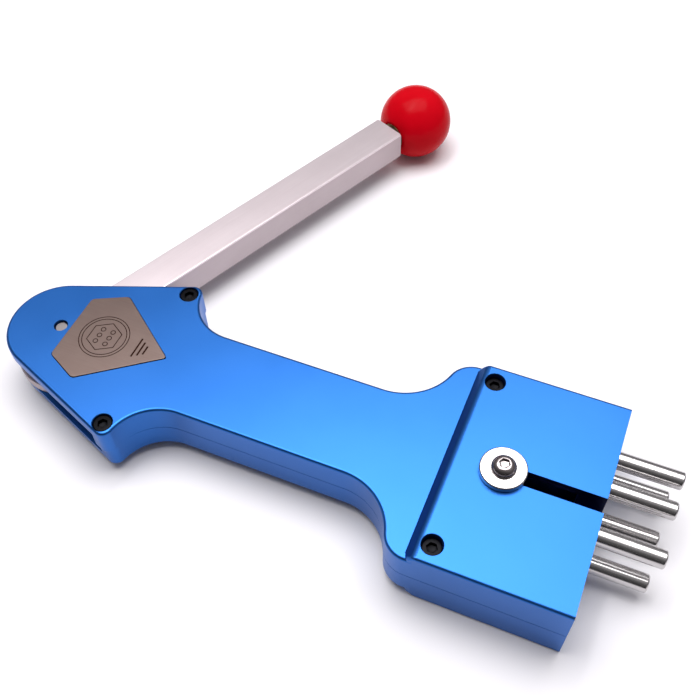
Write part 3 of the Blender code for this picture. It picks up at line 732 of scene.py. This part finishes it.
def bottom_cuts():
    """Blind holes that take the case screws' shanks."""
    cuts = []
    for node, face in CASE_SCREWS.items():
        spot = middle(node)
        blind = drill(SHANK + GAP, face - 3)
        cuts.append(moved(blind, at(spot.x, spot.y, JOINT_Z + PAST)))
    return cuts


top_half = combine(shell_blank(1), shared_cuts(1) + top_cuts(), "DIFFERENCE")
dress(top_half, FINISHES["blue_anodised"], "housing", ["upper_shell"])
bottom_half = combine(shell_blank(-1), shared_cuts(-1) + bottom_cuts(), "DIFFERENCE")
dress(bottom_half, FINISHES["blue_anodised"], "housing", ["lower_shell"])

# %% [markdown]
# ## The badge plate
# The plate carries a plain workshop pattern of its own: two rings and a hexagon round six dots
# that stand for the six rods, with three bars at the point. Each line is a shallow groove.

# %% Make and engrave the plate
# Width and depth of an engraved line.
LINE = 0.42
GROOVE = 0.22


def ring_groove(sides, radius, x, y):
    """A thin ring-shaped cutter: a disc whose inner face is removed after an inset."""
    shape = bmesh.new()
    bmesh.ops.create_circle(shape, cap_ends=True, segments=sides, radius=radius)
    disc = shape.faces[:]
    bmesh.ops.inset_region(shape, faces=disc, thickness=LINE, use_boundary=True,
                           use_even_offset=True)
    bmesh.ops.delete(shape, geom=disc, context="FACES")
    return moved(thicken(shape, PLATE_TOP - GROOVE, PLATE_TOP + PAST), at(x, y, 0))


plate = badge_slab(PLATE_TOP - width("badge_plate", 2), PLATE_TOP, GAP)
soften(plate, edges_where(plate, lambda p: p.z > PLATE_TOP - NEAR), 0.15, 2)
MOTIF_X = -192.0
BARS_X = -175.0
BAR_PITCH = 2.2
DOT_RADIUS = 1.3
DOT_PITCH = (5.2, 3.6)
grooves = [ring_groove(sides, radius, MOTIF_X, BADGE_Y)
           for sides, radius in ((72, 12.0), (72, 10.6), (6, 8.4))]
for row in (-0.5, 0.5):
    for place in (-1, 0, 1):
        grooves.append(ring_groove(24, DOT_RADIUS, MOTIF_X + row * DOT_PITCH[0],
                                   BADGE_Y + place * DOT_PITCH[1]))
for number, half in enumerate((5.5, 4.0, 2.5)):
    x = BARS_X + number * BAR_PITCH
    grooves.append(block((x, x + 2 * LINE), (BADGE_Y - half, BADGE_Y + half),
                         (PLATE_TOP - GROOVE, PLATE_TOP + PAST)))
badge = combine(as_object("badge", plate), grooves, "DIFFERENCE")
dress(badge, FINISHES["nickel_badge"], "housing", ["badge_plate"])

# %% [markdown]
# ## Screws and pins
# A cap screw is one turned profile with a hexagon socket sunk into it. The socket's cutter is the
# same drill shape, turned in only six steps. Pins are turned with a small chamfer at each end.

# %% Make screws and pins
CAP_RADIUS = 4.2
CAP_EDGE = 0.5
PIN_CHAMFER = 0.4
SOCKET_RADIUS = 2.3


def socket_tool(radius, depth):
    """A six-sided cutter with a pointed floor and a wider mouth, cut down from height 0."""
    pen = Pen(0, -depth - radius * 0.4).to(radius, -depth).to(radius, -0.2)
    return lathe(pen.to(radius + 0.8, 0.6).to(0, 0.6), 6)


def cap_screw(node):
    low, high = span(node)
    spot = middle(node)
    length = high.z - CAP_HEIGHT - low.z
    shoulder = CAP_RADIUS - CAP_EDGE
    pen = Pen(0, CAP_HEIGHT).to(shoulder, CAP_HEIGHT)
    pen.turn(shoulder, CAP_HEIGHT - CAP_EDGE, -90, 18).to(CAP_RADIUS, 0).to(SHANK, 0)
    shape = lathe(pen.to(SHANK, 0.5 - length).to(SHANK - 0.5, -length).to(0, -length), 64)
    tool = moved(socket_tool(SOCKET_RADIUS, 2.2), at(0, 0, CAP_HEIGHT))
    stand = at(spot.x, spot.y, low.z + length)
    screw = combine(as_object("cap_" + node, moved(shape, stand)), [moved(tool, stand)],
                    "DIFFERENCE")
    dress(screw, FINISHES["black_oxide"], "housing", [node])


def plain_pin(node, name):
    low, high = span(node)
    spot = middle(node)
    pen = round_bar(width(node) / 2, low.z, high.z, PIN_CHAMFER)
    pin = as_object(name, moved(lathe(pen, 64), at(spot.x, spot.y, 0)))
    dress(pin, FINISHES["machined_steel"], "housing", [node])


for screw_node in CASE_SCREWS:
    cap_screw(screw_node)
for pin_node, pin_name in (("pivot_pin", "pivot_axle"), ("stop_pin", "stop_peg"),
                           ("roller_stud", "roller_axle")):
    plain_pin(pin_node, pin_name)

# %% [markdown]
# ## The lever
# The lever is square bar with its long edges broken, turned down a little at the tip, so the
# corners end in curved chamfers. It is drawn along +X and then turned into place. The hub is a
# flat disc with a square hole that the pinion keys into.

# %% Make the lever
LEVER_PLACE = Matrix.Translation(PIVOT) @ Matrix.Rotation(LEVER_TURN, 4, "Z")
TIP_TO_BALL = 21.5
LEVER_END = (BALL.xy - PIVOT.xy).length - TIP_TO_BALL
LEVER_HALF = (9.5, 8.0)
HUB_RADIUS = 24.5
HUB_TOP = -2.5
STUD_RADIUS = 5.0
bar = block((14, LEVER_END), (-LEVER_HALF[0], LEVER_HALF[0]), (-LEVER_HALF[1], LEVER_HALF[1]))
long_edges = [edge for edge in bar.edges
              if abs(edge.verts[0].co.x - edge.verts[1].co.x) > 1]
soften(bar, long_edges, LEVER_CHAMFER, 3)
tip = Pen(0, LEVER_END + 1).to(11.0, LEVER_END + 1).to(13.0, LEVER_END - 1.6).to(13.0, 0)
tip = moved(lathe(tip.to(0, 0), 160), at(0, 0, 0, "X"))
hub = lathe(round_bar(HUB_RADIUS, -LEVER_HALF[1], HUB_TOP, 0.3), 160)
thread = moved(drill(STUD_RADIUS + GAP, 20, 0.4), at(LEVER_END, 0, 0, "X"))
lever = as_object("lever_bar", moved(bar, LEVER_PLACE))
combine(lever, [moved(tip, LEVER_PLACE)], "INTERSECT")
combine(lever, [moved(hub, LEVER_PLACE)], "UNION")
key_hole = block((-5, 5), (-5, 5), (-LEVER_HALF[1] - PAST, HUB_TOP + PAST))
combine(lever, [moved(key_hole, LEVER_PLACE), moved(thread, LEVER_PLACE)], "DIFFERENCE")
bar_finish = lever_bar_aluminium(PIVOT.z + LEVER_HALF[1])
dress(lever, bar_finish, "lever", ["lever_arm"])
print("lever tip is", round(LEVER_END, 1), "mm from the pivot")

# %% [markdown]
# ## The ball knob
# The ball is turned with a flat where it meets the lever. A threaded brass insert is moulded in,
# and a steel stud joins it to the bar. Only a sliver of the stud shows between the two, and its
# thread is a row of grooves with the right pitch instead of a helix.

# %% Make the ball, its insert and its stud
BALL_RADIUS = width("ball_knob", 2) / 2
BALL_FLAT = 18.7
INSERT_RADIUS = 7.2
flat_angle = math.degrees(math.acos(BALL_FLAT / BALL_RADIUS))
ALONG = LEVER_PLACE @ at(LEVER_END + TIP_TO_BALL, 0, 0, "X")
pen = Pen(0, BALL_RADIUS).turn(0, 0, flat_angle - 180, 2.0)
pen.to(INSERT_RADIUS + GAP, -BALL_FLAT).to(INSERT_RADIUS + GAP, 0).to(0, 0)
ball = as_object("ball", moved(lathe(pen, 128), ALONG))
dress(ball, FINISHES["red_ball"], "lever", ["ball_knob"])

insert_end = GAP - BALL_FLAT
insert_bore = STUD_RADIUS + GAP
pen = Pen(INSERT_RADIUS, -GAP).to(INSERT_RADIUS, insert_end).to(insert_bore, insert_end)
pen.to(insert_bore, -GAP).to(INSERT_RADIUS, -GAP)
insert = as_object("threaded_insert", moved(lathe(pen, 64), ALONG))
dress(insert, FINISHES["brass"], "lever", ["knob_insert"])

STUD_ENDS = (-1.0, -41.0)
THREAD_DEPTH = 0.6
THREAD_TURNS = 25
THREAD_PITCH = 1.5
root = STUD_RADIUS - THREAD_DEPTH
pen = Pen(0, STUD_ENDS[0]).to(root, STUD_ENDS[0]).to(STUD_RADIUS, STUD_ENDS[0] - THREAD_DEPTH)
for number in range(THREAD_TURNS):
    start = STUD_ENDS[0] - THREAD_DEPTH - number * THREAD_PITCH
    pen.to(STUD_RADIUS, start - 0.2 * THREAD_PITCH).to(root, start - 0.5 * THREAD_PITCH)
    pen.to(STUD_RADIUS, start - 0.8 * THREAD_PITCH)
pen.to(STUD_RADIUS, STUD_ENDS[1] + THREAD_DEPTH).to(root, STUD_ENDS[1]).to(0, STUD_ENDS[1])
stud = as_object("threaded_stud", moved(lathe(pen, 48), ALONG))
dress(stud, FINISHES["machined_steel"], "lever", ["knob_stud"])

# %% [markdown]
# ## The rods
# Six rods of ground steel bar, each with a small chamfer at the tip and a screw hole in the rear
# end. Each is read from its node and turned about its own axis.

# %% Make the rods
ROD_HOLE_RADIUS = 2.3
ROD_HOLE_DEPTH = 11.7
for rod_node in RODS[1] + RODS[-1]:
    low, high = span(rod_node)
    spot = middle(rod_node)
    radius = width(rod_node, 1) / 2
    length = high.x - low.x
    pen = Pen(0, length).to(radius - 0.6, length).to(radius - 0.1, length - 0.5)
    pen.to(radius, length - 0.7).to(radius, 0).to(ROD_HOLE_RADIUS, 0)
    pen.to(ROD_HOLE_RADIUS, ROD_HOLE_DEPTH).to(0, ROD_HOLE_DEPTH)
    rod = as_object("push_" + rod_node, moved(lathe(pen), at(low.x, spot.y, spot.z, "X")))
    dress(rod, FINISHES["polished_steel"], "carriage", [rod_node])

# %% [markdown]
# ## The clamp screw and its washer
# A button-head screw and a wide polished washer hold the carriage to the head. The head of the
# screw is one arc from its flat top to its rim.

# %% Make the washer and the button screw
CLAMP_SHANK = 3.0
WASHER_BORE = CLAMP_SHANK + GAP
WASHER_EDGE = 0.7
BUTTON_HEIGHT = 3.2
low, high = span("clamp_washer")
radius = width("clamp_washer") / 2
thickness = high.z - low.z
pen = Pen(WASHER_BORE, 0).to(WASHER_BORE, thickness - 0.2).to(WASHER_BORE + 0.2, thickness)
pen.to(radius - WASHER_EDGE, thickness)
pen.turn(radius - WASHER_EDGE, thickness - WASHER_EDGE, -90, 15)
pen.to(radius, 0.4).to(radius - 0.4, 0).to(WASHER_BORE, 0)
washer = as_object("polished_washer", moved(lathe(pen, 128), at(0, 0, low.z)))
dress(washer, FINISHES["polished_steel"], "carriage", ["clamp_washer"])

low, high = span("clamp_screw")
seat = span("clamp_washer")[1].z + GAP
foot = low.z - seat
pen = Pen(0, BUTTON_HEIGHT).to(2.9, BUTTON_HEIGHT).turn(1.5, -0.5, -53.13, 6).to(5.3, 0)
pen.to(CLAMP_SHANK, 0).to(CLAMP_SHANK, foot + 0.5).to(CLAMP_SHANK - 0.5, foot).to(0, foot)
button = as_object("button_screw", moved(lathe(pen), at(0, 0, seat)))
socket = moved(socket_tool(SOCKET_RADIUS, 1.9), at(0, 0, seat + BUTTON_HEIGHT))
combine(button, [socket], "DIFFERENCE")
dark_steel = brushed("dark_steel", (0.40, 0.35, 0.35), 0.16, UPRIGHT_RINGS, 0.003)
dress(button, dark_steel, "carriage", ["clamp_screw"])

# %% [markdown]
# ## Pieces inside the body
# The rack, pinion, carriage, bushes, roller and the small screws are seen only through gaps, so
# the model's own meshes stay and just take a finish.

# %% Finish the model's own pieces
slots = {part["node"]: part["material_slot"] for part in frame["record"]["subparts"]}
for node, thing in frame["nodes"].items():
    if not thing.material_slots:
        thing.data.materials.append(None)
    thing.material_slots[0].material = FINISHES[slots[node]]
print("nodes given a finish:", len(frame["nodes"]))

# %% [markdown]
# ## Table and light
# The press lies on a white table. One wide soft light hangs nearly overhead, and a thin tube
# light beside it draws a narrow streak on what is glossy. A pale room fills in the rest. It is
# darker low down and on the near side, so that polished steel has something to reflect. The ball
# hangs a little lower than the head, so the table leans to meet both.

# %% Stage
TABLE_HALF = 4000.0
TABLE_GAP = 0.05


def stage_table():
    head_edge = -HEAD_HALF_WIDTH
    ball_drop = span("ball_knob")[0].z
    lean = math.atan2(ball_drop, BALL.y - head_edge)
    shape = bmesh.new()
    bmesh.ops.create_grid(shape, x_segments=1, y_segments=1, size=TABLE_HALF)
    turn = Matrix.Translation((0, head_edge, -TABLE_GAP)) @ Matrix.Rotation(lean, 4, "X")
    table = as_object("table", moved(shape, turn))
    paper = Finish("white_paper", metallic=0.0)
    paper.put("Base Color", rgba(0.86, 0.84, 0.87)).put("Roughness", 0.85)
    table.data.materials.append(paper.material)
    print("table leans", round(math.degrees(lean), 2), "degrees")


def soft_light(name, place, target, size, power):
    data = bpy.data.lights.new(name, "AREA")
    data.shape = "RECTANGLE"
    data.size, data.size_y = size
    data.energy = power
    lamp = bpy.data.objects.new(name, data)
    lamp.location = place
    lamp.rotation_euler = (Vector(place) - Vector(target)).to_track_quat("Z", "Y").to_euler()
    bpy.context.scene.collection.objects.link(lamp)


def room():
    """A world whose grey changes with height and whose strength changes from side to side."""
    world = bpy.data.worlds.new("pale_room")
    bpy.context.scene.world = world
    world.use_nodes = True
    tree = world.node_tree
    coordinate = tree.nodes.new("ShaderNodeTexCoord")
    split = tree.nodes.new("ShaderNodeSeparateXYZ")
    ramp = tree.nodes.new("ShaderNodeValToRGB")
    tree.links.new(coordinate.outputs["Generated"], split.inputs[0])
    tree.links.new(split.outputs["Z"], ramp.inputs[0])
    tree.links.new(ramp.outputs[0], tree.nodes["Background"].inputs["Color"])
    stops = ramp.color_ramp.elements
    stops[0].position, stops[0].color = 0.0, rgba(0.22, 0.22, 0.25)
    stops[1].position, stops[1].color = 1.0, rgba(0.9, 0.88, 0.9)
    for position, grey in ((0.35, 0.28), (0.65, 0.6)):
        stops.new(position).color = rgba(grey, grey * 0.98, grey)
    side = tree.nodes.new("ShaderNodeMapRange")
    tree.links.new(split.outputs["Y"], side.inputs["Value"])
    from_low, from_high, to_low, to_high = side.inputs[1:5]
    from_low.default_value, from_high.default_value = -0.7, 0.2
    to_low.default_value, to_high.default_value = 0.2, 0.75
    tree.links.new(side.outputs[0], tree.nodes["Background"].inputs["Strength"])


stage_table()
room()
soft_light("overhead", (-0.14, 0.17, 0.88), (-0.03, 0.0, 0.0), (1.05, 0.7), 10.3)
soft_light("tube", (-0.24, 0.12, 0.90), (-0.12, 0.1, 0.0), (0.5, 0.014), 1.2)
bpy.context.scene.view_settings.view_transform = "Standard"

# %% [markdown]
# ## The camera
# It stands over the near side of the head and looks down steeply. The lens is close to a normal
# one, so perspective stretches the press only a little.

# %% Camera
CAMERA_PLACE = (18.61, -193.52, 365.27)
CAMERA_TURN = (37.073, 0.996, 22.51)
camera_data = bpy.data.cameras.new("camera")
camera_data.lens = 47.0
camera_data.sensor_width = 36.0
camera_data.clip_start = 0.01
camera = bpy.data.objects.new("camera", camera_data)
camera.location = Vector(CAMERA_PLACE) * MM
camera.rotation_euler = [math.radians(angle) for angle in CAMERA_TURN]
bpy.context.scene.collection.objects.link(camera)
bpy.context.scene.camera = camera
